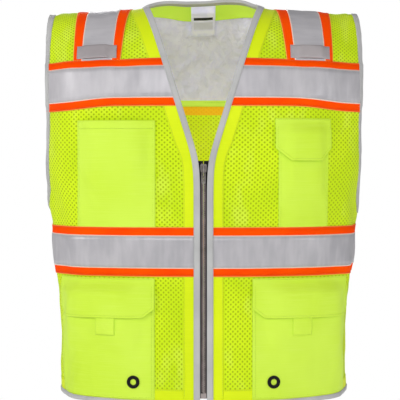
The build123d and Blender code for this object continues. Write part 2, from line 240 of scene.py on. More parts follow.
def fold(turn, v):
    """How far the cloth's soft folds stand out, the same for every layer."""
    u = arc((turn + PI) % (2 * PI) - PI)
    off = np.abs(u)
    # Long upright folds all round, deeper towards the hem and the sides.
    out = 2.4 * np.sin(6 * turn + 1.2 * np.sin(v / 97 + 0.7) + 0.4) * (0.35 + 0.65 * ease((330 - v) / 260))
    out += 1.6 * np.sin(13 * turn + 0.9 * np.sin(v / 61 + 2.0)) * (0.3 + 0.7 * ease((off - 150) / 120))
    # Short folds under each shoulder band, different left and right.
    chest = around(v, 480, 70)
    out += 1.4 * np.sin(u / 10.5 + v / 55 + 0.8 * np.sin(v / 31)) * around(u, -118, 62) * chest
    out += 1.2 * np.sin(u / 12.5 - v / 70 + 1.3) * around(u, 150, 60) * chest
    # Creases at the waist's sides, slanting ones near the hem and small waves everywhere.
    crease = np.sin(v / 13 + u / 19 + 1.5 * np.sin(u / 43))
    out += 1.5 * crease * around(off, 300, 95) * around(v, 240, 110)
    slant = np.sin((off + 0.8 * v) / 15 + 1.2 * np.sin(v / 47) + 0.7 * np.sign(u))
    out += 1.1 * slant * around(off, 255, 70) * around(v, 60, 80)
    out += 0.4 * np.sin(34 * turn + 2 * np.sin(v / 17)) * np.sin(v / 11 + 1.7 * np.sin(9 * turn))
    # Flat beside the zipper, the V neck and the grommets.
    front = off < 260
    gap = off - 0.33 * np.maximum(0, v - V_FOOT)
    out *= np.where(front, ease((gap - 16) / 46), 1.0)
    near = np.hypot(off - GROMMET_ARC, v - GROMMET_V)
    return out * (1 - around(near, 0, 26, 4) * front)


def surface(turn, v, level):
    """Point at a level above the folded cloth, with the hem hanging lower at the front."""
    turn, v, level = np.broadcast_arrays(*(np.asarray(q, float) for q in (turn, v, level)))
    points = bare(turn, v) + normal(turn, v) * (level + fold(turn, v))[..., None]
    points[..., 2] -= HEM_DIP * np.maximum(0, np.cos(turn)) * ease((HEM_DIP_TOP - v) / HEM_DIP_TOP)
    return points


# ---------------- mesh helpers
def make_object(name, points, faces, smooth, uv, material):
    """A mesh object in metres, from points and one (u, v) per point in millimetres."""
    mesh = bpy.data.meshes.new(name)
    mesh.from_pydata((np.asarray(points) * 0.001).tolist(), [], faces)
    mesh.polygons.foreach_set("use_smooth", smooth)
    uv_map = mesh.uv_layers.new(name="UVMap")
    index = np.zeros(len(mesh.loops), np.int32)
    mesh.loops.foreach_get("vertex_index", index)
    uv_map.data.foreach_set("uv", (np.asarray(uv)[index] * 0.001).astype(np.float32).ravel())
    mesh.materials.append(material)
    mesh.update()
    obj = bpy.data.objects.new(name, mesh)
    bpy.context.scene.collection.objects.link(obj)
    return obj


def grid_faces(rows, columns, start, flip, wrap=False):
    """Four-sided faces of a grid of points; wrap closes each row into a ring."""
    faces = []
    for j in range(rows - 1):
        for i in range(columns if wrap else columns - 1):
            k = (i + 1) % columns
            a, b = start + j * columns + i, start + j * columns + k
            c, d = b + columns, a + columns
            faces.append((a, d, c, b) if flip else (a, b, c, d))
    return faces


def shell(name, outer, inner, uv, material, flip=False):
    """Closed cloth between two matching grids of points, with a flat rim."""
    rows, columns = outer.shape[:2]
    count = rows * columns
    points = np.concatenate([outer.reshape(-1, 3), inner.reshape(-1, 3)])
    faces = grid_faces(rows, columns, 0, flip) + grid_faces(rows, columns, count, not flip)
    smooth = [True] * len(faces)
    ring = list(range(columns))
    ring += [j * columns + columns - 1 for j in range(1, rows)]
    ring += [(rows - 1) * columns + i for i in range(columns - 2, -1, -1)]
    ring += [j * columns for j in range(rows - 2, 0, -1)]
    for k, a in enumerate(ring):
        b = ring[(k + 1) % len(ring)]
        rim = (a, a + count, b + count, b)
        faces.append(rim[::-1] if flip else rim)
        smooth.append(False)
    both = np.concatenate([uv.reshape(-1, 2)] * 2)
    return make_object(name, points, faces, smooth, both, material)


def tube(name, rings, uv, material, flip=False):
    """Closed tube through rings of points, as a folded strip has, with flat ends."""
    rows, columns = rings.shape[:2]
    faces = grid_faces(rows, columns, 0, flip, wrap=True)
    smooth = [True] * len(faces) + [False, False]
    first, last = list(range(columns)), list(range((rows - 1) * columns, rows * columns))
    faces += [tuple(first if flip else first[::-1]), tuple(last[::-1] if flip else last)]
    return make_object(name, rings.reshape(-1, 3), faces, smooth, uv.reshape(-1, 2), material)


def spots(columns, rows):
    """Grids of s across and t up, both from 0 to 1."""
    return np.meshgrid(np.linspace(0, 1, columns), np.linspace(0, 1, rows))


def cloth_uv(turn, v):
    """Along the cloth and up it, in millimetres."""
    return np.stack([arc(turn), np.broadcast_to(v, np.shape(turn))], -1)


def strip_uv(points, across):
    """Along the strip and across it, in millimetres. Rows run along."""
    along = distances(points[:, points.shape[1] // 2])[:, None]
    return np.stack([along + 0 * points[..., 0], across + 0 * points[..., 0]], -1)


def add(obj, body, slot, *nodes):
    """The piece rides on a body, if it has one, and stands for CAD nodes. Its slot is not used."""
    if body:
        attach(obj, body)
    if nodes:
        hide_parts(*nodes)
    return obj


def layer(name, turn, v, level, thick, material, slot, *nodes, uv=None, side=1, body="vest"):
    """Cloth of even thickness over the torso, which stands for CAD nodes."""
    turn = turn * side
    uv = cloth_uv(turn, v) if uv is None else uv
    outer, inner = surface(turn, v, level + thick), surface(turn, v, level)
    return add(shell(name, outer, inner, uv, material, flip=side < 0), body, slot, *nodes)


# ---------------- materials
class Graph:
    """Short way to write a node material."""

    def __init__(self, name, **constants):
        self.material = bpy.data.materials.new(name)
        self.material.use_nodes = True
        self.tree = self.material.node_tree
        self.shader = self.tree.nodes["Principled BSDF"]
        for key, value in constants.items():
            self.shader.inputs[key.replace("_", " ")].default_value = value

    def put(self, socket, value):
        """Links a node's output to the socket, or sets a plain value."""
        if isinstance(value, bpy.types.NodeSocket):
            self.tree.links.new(value, socket)
        else:
            socket.default_value = value

    def node(self, kind, inputs=(), out=0, **properties):
        """Adds a node and gives one of its outputs."""
        node = self.tree.nodes.new(kind)
        for key, value in properties.items():
            setattr(node, key, value)
        for key, value in dict(inputs).items():
            self.put(node.inputs[key], value)
        return node.outputs[out]

    def math(self, operation, a, b=0.0, c=0.0):
        return self.node("ShaderNodeMath", {0: a, 1: b, 2: c}, operation=operation)

    def plus(self, a, b):
        return self.math("ADD", a, b)

    def minus(self, a, b):
        return self.math("SUBTRACT", a, b)

    def times(self, a, b):
        return self.math("MULTIPLY", a, b)

    def over(self, a, b):
        return self.math("DIVIDE", a, b)

    def within(self, value, low, high, soft):
        """1 between low and high, 0 outside, soft at both ends."""
        rise = self.ramp(value, low, low + soft)
        return self.times(rise, self.ramp(value, high, high + soft, 1.0, 0.0))

    def mix(self, share, a, b):
        """Colour a where share is 0 and b where it is 1; plain colours are 0 to 255."""
        node = self.tree.nodes.new("ShaderNodeMix")
        node.data_type = "RGBA"
        self.put(node.inputs[0], share)
        for socket, color in ((6, a), (7, b)):
            self.put(node.inputs[socket], linear(*color) if isinstance(color, tuple) else color)
        return node.outputs[2]

    def ramp(self, value, low, high, to_low=0.0, to_high=1.0):
        inputs = {0: value, 1: low, 2: high, 3: to_low, 4: to_high}
        return self.node("ShaderNodeMapRange", inputs, interpolation_type="SMOOTHSTEP")

    def uv(self):
        """The cloth's own directions, in millimetres."""
        split = self.tree.nodes.new("ShaderNodeSeparateXYZ")
        self.tree.links.new(self.node("ShaderNodeUVMap", uv_map="UVMap"), split.inputs[0])
        return self.times(split.outputs[0], 1000.0), self.times(split.outputs[1], 1000.0)

    def place(self, u, v):
        return self.node("ShaderNodeCombineXYZ", {0: u, 1: v})

    def noise(self, scale, detail=3.0, rough=0.55):
        """Noise fixed to the object."""
        place = self.node("ShaderNodeTexCoord", out=3)
        inputs = {"Vector": place, "Scale": scale, "Detail": detail, "Roughness": rough}
        return self.node("ShaderNodeTexNoise", inputs)

    def uv_noise(self, u, v, size_u, size_v, detail=2.0):
        """Noise with its own grain size along and across the cloth, in millimetres."""
        place = self.place(self.over(u, size_u), self.over(v, size_v))
        inputs = {"Vector": place, "Scale": 1.0, "Detail": detail, "Roughness": 0.6}
        return self.node("ShaderNodeTexNoise", inputs)

    def spots(self, u, v, scale):
        """Distance from scattered spots."""
        return self.node("ShaderNodeTexVoronoi", {"Vector": self.place(u, v), "Scale": scale})

    def wave(self, value, period):
        """0 to 1 and back over a period."""
        turn = self.times(value, 2 * PI / period)
        return self.math("MULTIPLY_ADD", self.math("SINE", turn), 0.5, 0.5)

    def bump(self, height, distance, strength=1.0):
        node = self.tree.nodes.new("ShaderNodeBump")
        node.inputs["Strength"].default_value = strength
        node.inputs["Distance"].default_value = distance
        self.tree.links.new(height, node.inputs["Height"])
        self.tree.links.new(node.outputs[0], self.shader.inputs["Normal"])

    def finish(self, color, roughness=0.9, alpha=1.0, metallic=0.0):
        """Sets what varies over the surface and gives the material."""
        inputs = {"Base Color": color, "Roughness": roughness, "Alpha": alpha, "Metallic": metallic}
        for name, value in inputs.items():
            self.put(self.shader.inputs[name], value)
        return self.material


def linear(*color):
    """Linear colour from everyday 0 to 255 values of red, green and blue."""
    out = [c / 255 / 12.92 if c <= 10 else ((c / 255 + 0.055) / 1.055) ** 2.4 for c in color]
    return (*out, 1.0)


# Spacing of the knit's holes, in millimetres.
HOLE_ACROSS, HOLE_UP = 7.8, 3.6


def knit_mesh(name, chest_low, glow):
    """Open knit with staggered holes, tinted where the orange backing shows through. The holes are painted
    dark olive and kept nearly opaque: painted shade of the dim inside seen through them.
    """
    # Emission set by glow: painted light, the cloth shining as though lit.
    g = Graph(name, Sheen_Weight=0.05, Sheen_Roughness=0.5, Specular_IOR_Level=0.15,
              Emission_Color=linear(228, 228, 40), Emission_Strength=glow)
    u, v = g.uv()
    row = g.math("FLOOR", g.over(v, HOLE_UP))
    shift = g.times(g.math("FLOORED_MODULO", row, 2.0), HOLE_ACROSS / 2)
    cell_u = g.minus(g.math("FLOORED_MODULO", g.plus(u, shift), HOLE_ACROSS), HOLE_ACROSS / 2)
    cell_v = g.over(g.minus(g.math("FLOORED_MODULO", v, HOLE_UP), HOLE_UP / 2), 1.15)
    far = g.math("SQRT", g.plus(g.math("POWER", cell_u, 2.0), g.math("POWER", cell_v, 2.0)))
    rim = g.ramp(far, 0.9, 1.7)
    tone = g.ramp(g.noise(9.0), 0.35, 0.65)
    cloth = g.mix(tone, (194, 226, 8), (210, 238, 26))
    pale = g.ramp(g.uv_noise(u, v, 38.0, 90.0, 3.0), 0.5, 0.68, 0.0, 0.5)
    cloth = g.mix(pale, cloth, (220, 244, 84))
    # Dark olive at the holes: painted shade, standing in for the shaded inside seen through them.
    cloth = g.mix(rim, (160, 186, 0), cloth)
    stripe, pick = g.wave(u, 1.3), g.wave(v, 1.2)
    cloth = g.mix(g.times(stripe, 0.12), cloth, (170, 210, 5))
    chest, waist = (g.within(v, low - 0.5, low + BACKING_WIDTH - 0.5, 1.0) for low in (chest_low, WAIST_LOW))
    cloth = g.mix(g.times(g.plus(chest, waist), 0.85), cloth, (255, 146, 16))
    g.bump(g.plus(g.times(rim, 0.8), g.times(g.times(stripe, pick), 0.35)), 0.0006, 0.7)
    # The holes stay 88 % opaque, so their painted shade covers what lies behind them.
    return g.finish(cloth, g.ramp(tone, 0.0, 1.0, 0.62, 0.78), g.ramp(far, 0.85, 1.05, 0.88, 1.0))


def tricot(name, bright, deep, line, glow):
    """Smooth solid knit with fine paler lines across it, painted sheen."""
    # Emission set by glow: painted light, the cloth shining as though lit.
    g = Graph(name, Sheen_Weight=0.06, Sheen_Roughness=0.4, Specular_IOR_Level=0.2,
              Emission_Color=linear(*bright), Emission_Strength=glow)
    u, v = g.uv()
    color = g.mix(g.ramp(g.noise(7.0, 2.0), 0.3, 0.7), deep, bright)
    # Fine paler lines in the line colour: painted sheen.
    sheen_streak = g.uv_noise(u, v, 60.0, 1.1, 3.0)
    color = g.mix(g.ramp(sheen_streak, 0.4, 0.75, 0.0, 0.35), color, line)
    ribs = g.wave(v, 0.9)
    color = g.mix(g.times(ribs, 0.07), color, deep)
    g.bump(g.plus(g.times(ribs, 0.5), g.times(g.wave(u, 0.8), 0.3)), 0.00025, 0.6)
    return g.finish(color, g.ramp(sheen_streak, 0.3, 0.7, 0.5, 0.66))


def ribbon(name, bright, deep, edge, width, glow=0.0, rib=0.9, shine=0.15):
    """Woven ribbon with ribs along it and, where edge is a colour, a selvedge on both edges."""
    # Emission set by glow: painted light, the ribbon shining as though lit.
    g = Graph(name, Specular_IOR_Level=shine, Emission_Color=linear(*bright), Emission_Strength=glow)
    u, v = g.uv()
    tone = g.ramp(g.noise(16.0, 3.0), 0.3, 0.7)
    color = g.mix(tone, deep, bright)
    weave = g.times(g.wave(v, rib), g.wave(u, 0.7))
    color = g.mix(g.times(weave, 0.18), color, deep)
    if edge:
        from_edge = g.math("MINIMUM", v, g.minus(width, v))
        color = g.mix(g.ramp(from_edge, 0.35, 1.0, 0.85, 0.0), color, edge)
    g.bump(weave, 0.0003, 0.6)
    return g.finish(color, g.ramp(tone, 0.0, 1.0, 0.6, 0.75))


def glass_bead():
    """Retroreflective tape: fine beads, paler streaks and faint darker lines, painted light and shade of its
    creases, and a pale edge.
    """
    g = Graph("silver_bead_tape", Specular_IOR_Level=0.35, Coat_Weight=0.04, Coat_Roughness=0.35)
    u, v = g.uv()
    bead = g.spots(u, v, 1.6)
    tone = g.ramp(g.noise(6.0, 4.0, 0.6), 0.3, 0.7)
    color = g.mix(tone, (170, 168, 173), (191, 188, 192))
    # Paler streaks across the tape: painted light on its creases.
    soft = g.uv_noise(u, v, 16.0, 70.0, 2.0)
    color = g.mix(g.ramp(soft, 0.35, 0.7, 0.0, 0.4), color, (206, 203, 206))
    color = g.mix(g.ramp(bead, 0.1, 0.6, 0.16, 0.0), color, (150, 150, 156))
    # Thin darker lines: painted shade in its creases.
    crease = g.uv_noise(u, v, 3.5, 26.0, 4.0)
    color = g.mix(g.ramp(crease, 0.62, 0.7, 0.0, 0.22), color, (160, 159, 164))
    from_edge = g.math("MINIMUM", v, g.minus(TAPE_WIDTH, v))
    color = g.mix(g.ramp(from_edge, 0.9, 2.0, 0.95, 0.0), color, (255, 226, 206))
    g.bump(bead, 0.00012, 0.5)
    return g.finish(color, g.ramp(tone, 0.0, 1.0, 0.34, 0.48), metallic=0.12)


def woven_lining():
    """Light grey plain weave with fine creases, darker in them: painted shade. It glows faintly and bluish:
    painted light that brightens the shaded inside and offsets the lime light bounced there.
    """
    # Faint bluish glow: painted light for the shaded inside of the back.
    g = Graph("grey_lining_weave", Specular_IOR_Level=0.2, Emission_Color=linear(236, 234, 255),
              Emission_Strength=0.14)
    u, v = g.uv()
    tone = g.ramp(g.noise(10.0, 4.0), 0.3, 0.7)
    color = g.mix(tone, (220, 217, 250), (234, 231, 255))
    crease = g.ramp(g.uv_noise(u, v, 11.0, 19.0, 4.0), 0.42, 0.62)
    # Darker in the creases: painted shade.
    color = g.mix(g.times(crease, 0.25), color, (202, 198, 226))
    weave = g.times(g.wave(u, 0.8), g.wave(v, 0.8))
    g.bump(g.plus(g.times(weave, 0.2), crease), 0.002, 0.7)
    return g.finish(color, g.ramp(tone, 0.0, 1.0, 0.6, 0.75))


def label_weave():
    """Plain label with a dark bar above a faint grey patch. It glows in its own colours: painted light that
    brightens it in the shaded neck.
    """
    g = Graph("label_satin", Specular_IOR_Level=0.3, Emission_Strength=0.18)
    u, v = g.uv()
    color = g.mix(g.ramp(g.noise(60.0, 2.0), 0.35, 0.65), (214, 212, 236), (228, 226, 248))
    across = g.within(u, 4.0, 35.7, 0.3)
    color = g.mix(g.times(g.within(v, 38.0, 45.5, 0.3), across), color, (30, 30, 33))
    color = g.mix(g.times(g.times(g.within(v, 12.0, 30.0, 6.0), across), 0.4), color, (170, 170, 172))
    # Emission in the label's own colours: painted light against the shade inside the neck.
    g.put(g.shader.inputs["Emission Color"], color)
    g.bump(g.times(g.wave(u, 0.6), g.wave(v, 0.5)), 0.0002, 0.5)
    return g.finish(color, g.ramp(g.noise(90.0), 0.3, 0.7, 0.45, 0.6))


def fuzzy(name, bright, deep):
    """Hook and loop patch."""
    g = Graph(name, Sheen_Weight=0.4, Specular_IOR_Level=0.2)
    dots = g.spots(*g.uv(), 0.8)
    color = g.mix(g.ramp(dots, 0.15, 0.6), bright, deep)
    g.bump(dots, 0.0008, 0.8)
    return g.finish(color, g.ramp(g.noise(400.0, 2.0), 0.3, 0.7, 0.8, 0.95))


def metal(name, bright, deep, rough, metallic, wear, grain=900.0, shine=0.45):
    """Metal or enamel with fine scratches and worn edges."""
    g = Graph(name, Specular_IOR_Level=shine)
    scratch = g.noise(grain, 4.0, 0.7)
    color = g.mix(g.ramp(g.noise(120.0, 3.0), 0.3, 0.7), deep, bright)
    pointed = g.node("ShaderNodeNewGeometry", out=7)
    color = g.mix(g.ramp(pointed, 0.52, 0.62, 0.0, wear), color, (215, 212, 206))
    g.bump(scratch, 0.00003, 0.4)
    return g.finish(color, g.ramp(scratch, 0.3, 0.7, rough, rough + 0.14), metallic=metallic)


def thread(name, bright, deep):
    """Twisted sewing thread."""
    g = Graph(name, Sheen_Weight=0.2, Specular_IOR_Level=0.3)
    twist = g.noise(2600.0, 2.0)
    color = g.mix(g.ramp(twist, 0.35, 0.65), deep, bright)
    g.bump(twist, 0.0001, 0.5)
    return g.finish(color, g.ramp(twist, 0.3, 0.7, 0.55, 0.7))


# Small glows on the front mesh, the lime cloth, the placket and the orange backing: painted light standing in
# for the fluorescent dyes.
LIME_MESH = knit_mesh("lime_knit_mesh_front", CHEST_LOW, 0.05)
# The back mesh glows about five times as much as the front: painted light that brightens the back's shaded
# inside.
BACK_MESH = knit_mesh("lime_knit_mesh_back", BACK_LOW, 0.26)
LIME = tricot("lime_tricot", (206, 239, 75), (198, 232, 53), (216, 243, 105), 0.05)
# A paler, more glowing copy of the lime cloth for the inside strips: painted light for their shade.
INNER_LIME = tricot("lime_tricot_inside", (210, 244, 90), (200, 238, 66), (218, 248, 110), 0.2)
PLACKET = tricot("lime_tricot_placket", (222, 240, 14), (210, 232, 4), (228, 244, 34), 0.03)
ORANGE = ribbon("orange_backing", (255, 82, 0), (250, 66, 0), (255, 206, 110), BACKING_WIDTH,
                glow=0.1, shine=0.04)
SILVER = glass_bead()
GREY = ribbon("grey_edge_binding", (196, 196, 195), (180, 180, 180), None, BINDING, rib=1.4)
TAB_GREY = ribbon("grey_tab_webbing", (176, 169, 170), (158, 151, 153), (188, 182, 183), TAB_WIDTH, rib=1.6)
LINING = woven_lining()
LABEL = label_weave()
HOOK = fuzzy("hook_and_loop_lime", (200, 236, 60), (150, 190, 20))
BLACK_TAPE = ribbon("black_zipper_tape", (34, 34, 35), (14, 14, 15), None, 11.4, rib=1.1)
TEETH = metal("zipper_tooth_metal", (140, 120, 120), (108, 92, 92), 0.36, 0.4, 0.3)
CHROME = metal("zipper_slider_metal", (128, 120, 117), (88, 82, 80), 0.32, 0.5, 0.3)
ENAMEL = metal("black_enamel", (5, 5, 6), (2, 2, 2), 0.1, 0.0, 0.0, 500.0, 0.22)
THREAD_GREY = thread("thread_grey", (196, 196, 197), (150, 150, 152))
THREAD_LIME = thread("thread_lime", (196, 230, 50), (160, 196, 20))
THREAD_PALE = thread("thread_pale", (214, 213, 214), (170, 169, 172))
THREAD_ORANGE = thread("thread_orange", (255, 120, 40), (226, 76, 8))


# ---------------- stitches
STITCH_PITCH, STITCH_LONG, STITCH_WIDE, STITCH_HIGH = 3.3, 2.5, 0.55, 0.32
RUNS = {}


def stitch_line(group, turn, v, level, side=1, inward=False):
    """Notes a stitched line at a level of the cloth, to be sewn later with the rest of its group."""
    turn = np.asarray(turn, float) * side
    v = np.broadcast_to(np.asarray(v, float), turn.shape)
    up = normal(turn, v)
    RUNS.setdefault(group, []).append((surface(turn, v, level), -up if inward else up))


def sample(places, lengths, values):
    """Points or directions at places along a line."""
    return np.stack([np.interp(places, lengths, values[:, k]) for k in range(3)], -1)


def sew(name, group, material, body, slot):
    """One mesh of short rounded stitches along every line of a group."""
    corners = [(a, b, 0.0) for a in (-0.5, 0.5) for b in (-0.5, 0.5)]
    corners += [(a, b, 1.0) for a in (-0.34, 0.34) for b in (-0.3, 0.3)]
    quads = [(0, 2, 6, 4), (3, 1, 5, 7), (1, 0, 4, 5), (2, 3, 7, 6), (4, 6, 7, 5), (0, 1, 3, 2)]
    points, faces, start = [], [], 0
    for line, normals in RUNS[group]:
        lengths = distances(line)
        count = max(1, int(lengths[-1] / STITCH_PITCH))
        centres = (np.arange(count) + 0.5) * lengths[-1] / count
        behind = sample(np.maximum(0, centres - 1.0), lengths, line)
        ahead = unit(sample(np.minimum(lengths[-1], centres + 1.0), lengths, line) - behind)
        up = unit(sample(centres, lengths, normals))
        beside = unit(np.cross(up, ahead))
        for a, b, c in corners:
            offset = ahead * (a * STITCH_LONG) + beside * (b * STITCH_WIDE) + up * (c * STITCH_HIGH - 0.05)
            points.append(sample(centres, lengths, line) + offset)
        faces += [tuple(start + k + q * count for q in quad) for k in range(count) for quad in quads]
        start += len(corners) * count
    points = np.concatenate(points)
    add(make_object(name, points, faces, [True] * len(faces), points[:, [0, 2]], material), body, slot)


# ---------------- panels
def front_ends(inset, cut=0.0):
    """Turns from a distance in from the front edge to just short of the side."""
    return lambda v: (front_turn(v, inset), side_limit(v) - cut)


def back_ends(cut=0.0):
    """Turns from side to side over the back."""
    return lambda v: (PI - side_limit(v) + cut, PI + side_limit(v) - cut)


def between(ends, rows, columns):
    """Grids of turn and v, from one end to the other on each row."""
    s, v = np.meshgrid(np.linspace(0, 1, columns), rows)
    start, end = ends(rows)
    return mix(start[:, None], end[:, None], s), v


def row_heights():
    """Row positions up a panel, close together round the underarm."""
    below = np.arange(HEM + 4, UNDERARM, 6.0)
    curve = ARM_SIDE - (ARM_SIDE - UNDERARM) * np.cos(np.linspace(0, PI / 2, 30))
    return np.concatenate([below, curve[:-1], np.linspace(ARM_SIDE, TOP, 50)])


def front_panel(side, hand):
    turn, v = between(front_ends(3.0), row_heights(), 64)
    obj = layer(f"cloth_front_panel_{hand}", turn, v, 0.05, 0.6, LIME_MESH, "lime_mesh",
                f"front_panel_{hand}", side=side)


def neck_top(x, inset):
    """v of the back neck's edge at this x, moved in by a distance."""
    x = np.abs(x)
    share = np.clip(x / (NECK_HALF + inset), 0, 1)
    return np.minimum(back_spot(x, (NECK_DEPTH + inset) * np.sqrt(1 - share ** 2))[1], TOP)


def back_grid(rows, columns, cut, neck_inset):
    """Turn and v over the back, with the top rows fitted to the neck, and the neck's v at each column."""
    turn, v = between(back_ends(cut), rows, columns)
    top = neck_top(bare(turn[-1], WALL)[:, 0], neck_inset)
    high = np.clip((v - FITTED_FROM) / (TOP - FITTED_FROM), 0, 1)
    return turn, np.where(v > FITTED_FROM, mix(FITTED_FROM, top, high), v), top


def back_panel():
    turn, v, _ = back_grid(row_heights(), 121, 0.0, 2.0)
    obj = layer("cloth_back_panel", turn, v, 0.05, 0.6, BACK_MESH, "lime_mesh", "back_panel")


def wrinkle(u, v):
    """Creases of the loose lining, in millimetres inward."""
    waves = ((3.0, np.sin(u / 15 + v / 38 + 1.3 * np.sin(v / 29 + 0.5))),
             (2.2, np.sin(-u / 17 + v / 19 + 1.1 * np.sin(u / 29))),
             (1.3, np.sin(u / 7.1 + v / 6.3 + 1.6 * np.sin(u / 21 - v / 33))),
             (1.2, np.sin(u / 11 - v / 5.2 + 1.2 * np.sin(v / 23 + u / 31))))
    return sum(height * (1 - np.abs(wave) ** 0.7) for height, wave in waves)


def lining_level(turn, v, below_neck, from_side=1.0):
    """Level of the lining, loose between its seams and flat under the neck facing."""
    edge = ease(np.minimum(from_side, (below_neck - 38) / 50))
    loose = ease(np.minimum(edge, (v - LINING_LOW) / 25))
    return -1.3 - wrinkle(arc(turn), v) * loose


def lining():
    turn, v, top = back_grid(np.linspace(LINING_LOW, TOP, 76), 130, LINING_SEAM, 4.0)
    s = np.linspace(0, 1, 130)
    level = lining_level(turn, v, top - v, 12 * np.minimum(s, 1 - s))
    obj = layer("cloth_back_lining", turn, v, level, 0.5, LINING, "lining_cloth", "back_lining")
    hem = np.linspace(*back_ends(LINING_SEAM)(LINING_LOW), 100)
    turn, v = np.meshgrid(hem, np.linspace(LINING_LOW - 8.5, LINING_LOW + 2, 5))
    layer("lining_hem_strip", turn, v, -2.1 - 0.4 * np.sin(arc(turn) / 31), 0.5, INNER_LIME, "lime_cloth")
    stitch_line("lime", hem, LINING_LOW - 1, -2.4)


# ---------------- bands
# Width, level, thickness, material, slot and stitches of the two ribbons that make a band.
RIBBONS = {"backing": (BACKING_WIDTH, BACKING - 0.3, 0.55, ORANGE, "orange_tape", "orange"),
           "tape": (TAPE_WIDTH, TAPE - 0.5, 0.4, SILVER, "silver_tape", "pale")}


def hanging(turn, v):
    """v moved down where the chest band hangs towards the armholes."""
    out = ease((np.abs(bare(turn, WALL)[..., 0]) - 120) / 130)
    return v - 8.0 * out * ease((BACK_LOW + BACKING_WIDTH - v) / BACKING_WIDTH + 0.1) * (v > 400)


def band(word, hand, low, ends, seam_ends, side=1, columns=70, seam_points=90):
    """Orange backing with silver tape on it, each sewn along both edges."""
    for kind, (width, level, thick, material, slot, group) in RIBBONS.items():
        foot = low + (BACKING_WIDTH - width) / 2
        turn, v = between(ends, np.linspace(foot, foot + width, 7), columns)
        uv = np.stack([np.abs(arc(turn)), v - foot], -1)
        name = f"band_{word}_{kind}_{hand}"
        layer(name, turn, hanging(turn, v), level, thick, material, slot, f"{word}_{kind}_{hand}", uv=uv,
              side=side)
        inset = 2.2 if kind == "backing" else 2.0
        for height in (foot + inset, foot + width - inset):
            turn = np.linspace(*seam_ends(height), seam_points)
            stitch_line(group, turn, hanging(turn, height), level + thick, side)


def bands():
    places = (("chest", CHEST_LOW, BACK_LOW, 0.012), ("waist", WAIST_LOW, WAIST_LOW, 0.0))
    for word, low, back_low, cut in places:
        for side, hand in HANDS:
            band(word, hand, low, front_ends(5.0, cut), front_ends(9.5), side)
        band(word, "back", back_low, back_ends(cut), back_ends(0.03), columns=130, seam_points=180)


def strap_place(s, t, margin):
    """Turn and v on the shoulder band: s across it, t from the front chest band to the back one."""
    lean = 2 * t - 1
    end = np.where(lean <= 0, CHEST_LOW, BACK_LOW) + BACKING_WIDTH - 1.0
    v = np.minimum(TOP, RIDGE - np.abs(lean) * (RIDGE - end))
    margin = margin * mix(1.42, 1.0, np.abs(lean))
    inner = mix(STRAP_TOP_X, STRAP_END_X, np.abs(lean)) + margin
    turn = turn_at(mix(inner, STRAP_OUTER_X - margin, s), v)
    return np.where(lean <= 0, turn, PI - turn), v


def straps():
    s, t = spots(17, 90)
    for side, hand in HANDS:
        for kind, (width, level, thick, material, slot, group) in RIBBONS.items():
            margin = (BACKING_WIDTH - width) / 2
            turn, v = strap_place(s, t, margin)
            uv = strip_uv(surface(turn * side, v, level + thick), s * width)
            layer(f"{kind}_shoulder_{hand}", turn, v, level, thick, material, slot,
                  f"shoulder_{kind}_{hand}", uv=uv, side=side)
            for share in (2.0 / width, 1 - 2.0 / width):
                turn, v = strap_place(np.full(120, share), np.linspace(0.003, 0.997, 120), margin)
                stitch_line(group, turn, v, level + thick, side)


def mic_tabs():
    """Webbing loops at the feet of the shoulder bands, sewn down at both ends."""
    low = CHEST_LOW + BACKING_WIDTH + 2
    first, last = float(turn_at(134.0, low)), float(turn_at(195.0, low))
    s, t = spots(44, 9)
    turn, v = mix(first, last, s), mix(low, low + TAB_WIDTH, t)
    stand = 3.0 * ease(5 * (s - 0.09)) * ease(5 * (0.91 - s))
    crown = 0.5 * np.sin(PI * t) ** 0.5 * ease(6 * s) * ease(6 - 6 * s)
    uv = np.stack([arc(turn) - arc(first), v - low], -1)
    for side, hand in HANDS:
        obj = layer(f"mic_tab_webbing_{hand}", turn, v, 2.75 + stand + crown, 1.0, TAB_GREY,
                    "mic_tab_cloth", f"mic_tab_{hand}", uv=uv, side=side)
        for share in (0.025, 0.06, 0.94, 0.975):
            seam = np.full(14, mix(first, last, share))
            stitch_line("grey", seam, np.linspace(low + 1, low + TAB_WIDTH - 1, 14), 3.8, side)


# ---------------- edges
def over_bands(turn, v):
    """1 where the binding lies over a band, 0 where it lies on the bare panel."""
    lows = (np.where(np.cos(turn) > 0, CHEST_LOW, BACK_LOW), WAIST_LOW)
    return sum(ease((v - low + 4) / 6) * ease((low + BACKING_WIDTH + 4 - v) / 6) for low in lows)


def binding_profile():
    """Inset and share of the height round a folded strip's section, closed."""
    outer = [(BINDING * k / 6, 1.0) for k in range(6, -1, -1)]
    turned = [(-0.9 * math.sin(PI * k / 5), 0.5 + 0.5 * math.cos(PI * k / 5)) for k in range(1, 5)]
    inner = [(BINDING * k / 6, 0.0) for k in range(0, 7)]
    return np.array(outer + turned + inner)


def binding(name, place, count, top_level, bottom, side, node, flip=False):
    """Folded strip along an edge, sewn through. place(t, inset) gives turn and v."""
    profile = binding_profile()
    inset, share = profile[None, :, 0], profile[None, :, 1]
    grid_t = np.repeat(np.linspace(0, 1, count)[:, None], len(profile), 1)
    turn, v = place(grid_t, inset + 0 * grid_t)
    crown = 0.25 * np.sin(np.clip(inset / BINDING, 0, 1) * PI) * (share > 0.9)
    rings = surface(turn * side, v, mix(bottom, top_level(turn, v), share) + crown)
    round_section = distances(profile * [1, 4])
    obj = tube(name, rings, strip_uv(rings, round_section), GREY, flip=(side < 0) != flip)
    add(obj, "vest", "grey_binding", node)
    turn, v = place(np.linspace(0, 1, count * 2), np.full(count * 2, BINDING - 1.6))
    stitch_line("grey", turn, v, top_level(turn, v) + 0.15, side)
    stitch_line("grey", turn, v, bottom - 0.05, side, inward=True)


def front_place(t, inset):
    v = mix(HEM + 0.5, TOP, t)
    return front_turn(v, inset), v


def arm_place(t, inset):
    return arm_inset(mix(0.001, 0.999, t), inset)


